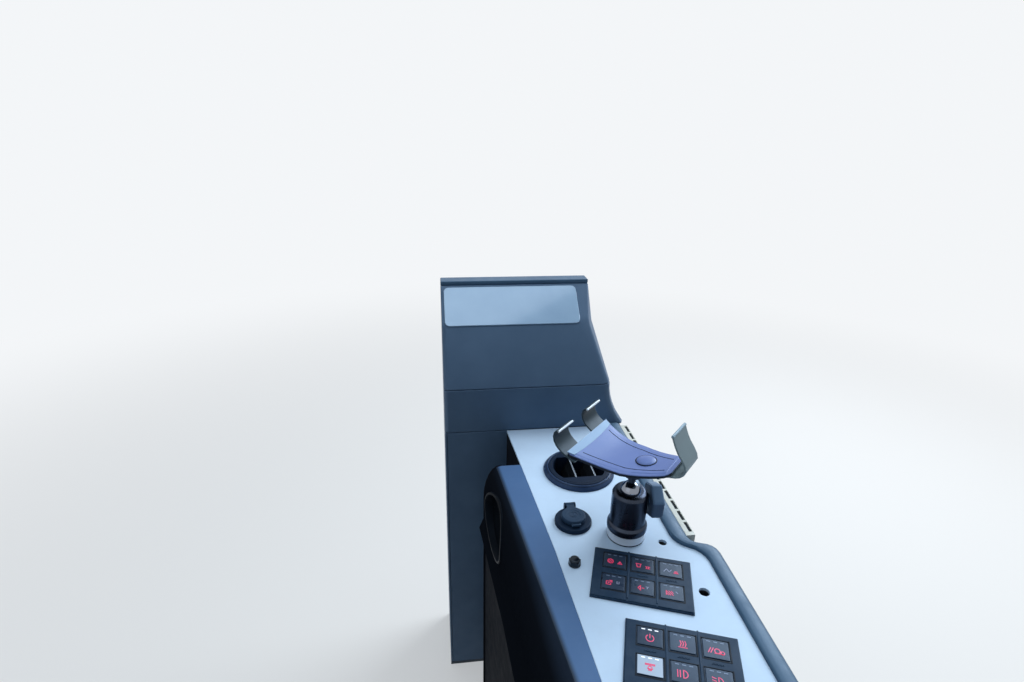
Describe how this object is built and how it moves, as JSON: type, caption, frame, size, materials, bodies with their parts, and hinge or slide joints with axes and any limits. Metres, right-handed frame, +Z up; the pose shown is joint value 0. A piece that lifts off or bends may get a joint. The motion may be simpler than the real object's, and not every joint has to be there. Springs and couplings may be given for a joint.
{
  "type": "side console of a forestry forwarder's cab",
  "caption": "Cab side console with a switch plate, swivelling air vent, capped power socket, keypads, ball-jointed phone holder and a corner tower, on a floor flange.",
  "frame": {"origin": "middle of the four floor bolt holes, on the floor flange's underside", "axes": "+X towards the window side, +Y ahead towards the tower, +Z up"},
  "size_m": [0.277, 0.645, 0.646],
  "materials": {
    "flange_steel": "satin black paint",
    "housing_black": "fine grained, black",
    "panel_black": "smooth satin, blue-black",
    "tower_grey": "fine grained, blue-grey",
    "tower_gloss": "smooth, glossy, pale blue-grey",
    "deck_paint": "semi-gloss pale grey powder coat",
    "nut_zinc": "zinc plated",
    "rim_grey": "fine grained, blue-grey",
    "grille_bone": "smooth, bone",
    "vent_black": "satin black",
    "vane_black": "satin black",
    "mesh_black": "satin black",
    "socket_black": "satin black",
    "cap_rubber": "soft matt black",
    "knob_gloss": "glossy black",
    "keypad_slate": "fine grained slate",
    "key_slate": "satin slate with lit symbols",
    "label_white": "blank white ring",
    "holder_black": "black anodised look",
    "ball_chrome": "polished",
    "cradle_gloss": "glossy dark grey",
    "claw_metal": "grey-green, rubber edged",
    "clamp_black": "satin black"
  },
  "bodies": {
    "console": {"base_flange": "flange_steel", "lower_inner_panel": "housing_black", "inner_side_panel": "panel_black", "speaker_bezel": "vent_black", "speaker_mesh": "mesh_black", "step_panel": "housing_black", "notch_panel": "housing_black", "column_front_panel": "tower_grey", "column_end_panel": "tower_grey", "back_panel": "tower_grey", "outer_panel": "housing_black", "near_end_panel": "housing_black", "deck_plate": "deck_paint", "accessory_nuts": "nut_zinc", "edge_rim": "rim_grey", "defroster_grille": "grille_bone", "tower_lower_cover": "tower_grey", "tower_upper_cover": "tower_grey", "tower_top_panel": "tower_gloss", "tower_lip": "rim_grey", "vent_bezel": "vent_black", "socket_body": "socket_black", "push_knob": "knob_gloss", "keypad_1_frame": "keypad_slate", "keypad_1_keys": "key_slate", "keypad_2_frame": "keypad_slate", "keypad_2_keys": "key_slate", "holder_foot": "holder_black", "holder_label": "label_white", "holder_body": "holder_black"},
    "vent_turner": {"vent_barrel": "vent_black"},
    "vane_left": {"vent_vane_left": "vane_black"},
    "vane_right": {"vent_vane_right": "vane_black"},
    "socket_lid": {"socket_cap": "cap_rubber"},
    "ball": {"holder_ball": "ball_chrome"},
    "cradle": {"cradle_stem": "holder_black", "cradle_plate": "cradle_gloss", "fixed_claws": "claw_metal", "cradle_screw": "cradle_gloss"},
    "claw": {"sliding_claw": "claw_metal"},
    "clamp": {"clamp_knob": "clamp_black"}
  },
  "joints": [
    {"name": "vent_swivel", "type": "hinge", "parent": "console", "child": "vent_turner", "pos_m": [-0.004, 0.114, 0.45], "axis": [0, 0, 1], "continuous": true},
    {"name": "vane_tilt", "type": "hinge", "parent": "vent_turner", "child": "vane_left", "pos_m": [-0.016, 0.114, 0.444], "axis": [0, 1, 0], "range_deg": [-60, 10]},
    {"name": "vane_right_tilt", "type": "hinge", "parent": "vent_turner", "child": "vane_right", "pos_m": [0.008, 0.114, 0.444], "axis": [0, 1, 0], "range_deg": [-60, 10]},
    {"name": "socket_lid_hinge", "type": "hinge", "parent": "console", "child": "socket_lid", "pos_m": [-0.0336, 0.0374, 0.459], "axis": [-1, 0, 0], "range_deg": [0, 110]},
    {"name": "ball_tilt", "type": "hinge", "parent": "console", "child": "ball", "pos_m": [0.0183, -0.006, 0.5073], "axis": [1, 0, 0], "range_deg": [-20, 20]},
    {"name": "cradle_turn", "type": "hinge", "parent": "ball", "child": "cradle", "pos_m": [0.0183, -0.006, 0.5073], "axis": [0, 0, 1], "continuous": true},
    {"name": "claw_slide", "type": "slide", "parent": "cradle", "child": "claw", "axis": [0.7193, -0.6947, 0], "range_m": [0, 0.018], "stiffness_N_per_m": 150, "springref_m": -0.01},
    {"name": "clamp_turn", "type": "hinge", "parent": "console", "child": "clamp", "pos_m": [0.0183, -0.006, 0.495], "axis": [0.9962, -0.0872, 0], "continuous": true}
  ],
  "couplings": [
    {"joint": "vane_right_tilt", "follows": "vane_tilt", "ratio": 1}
  ]
}
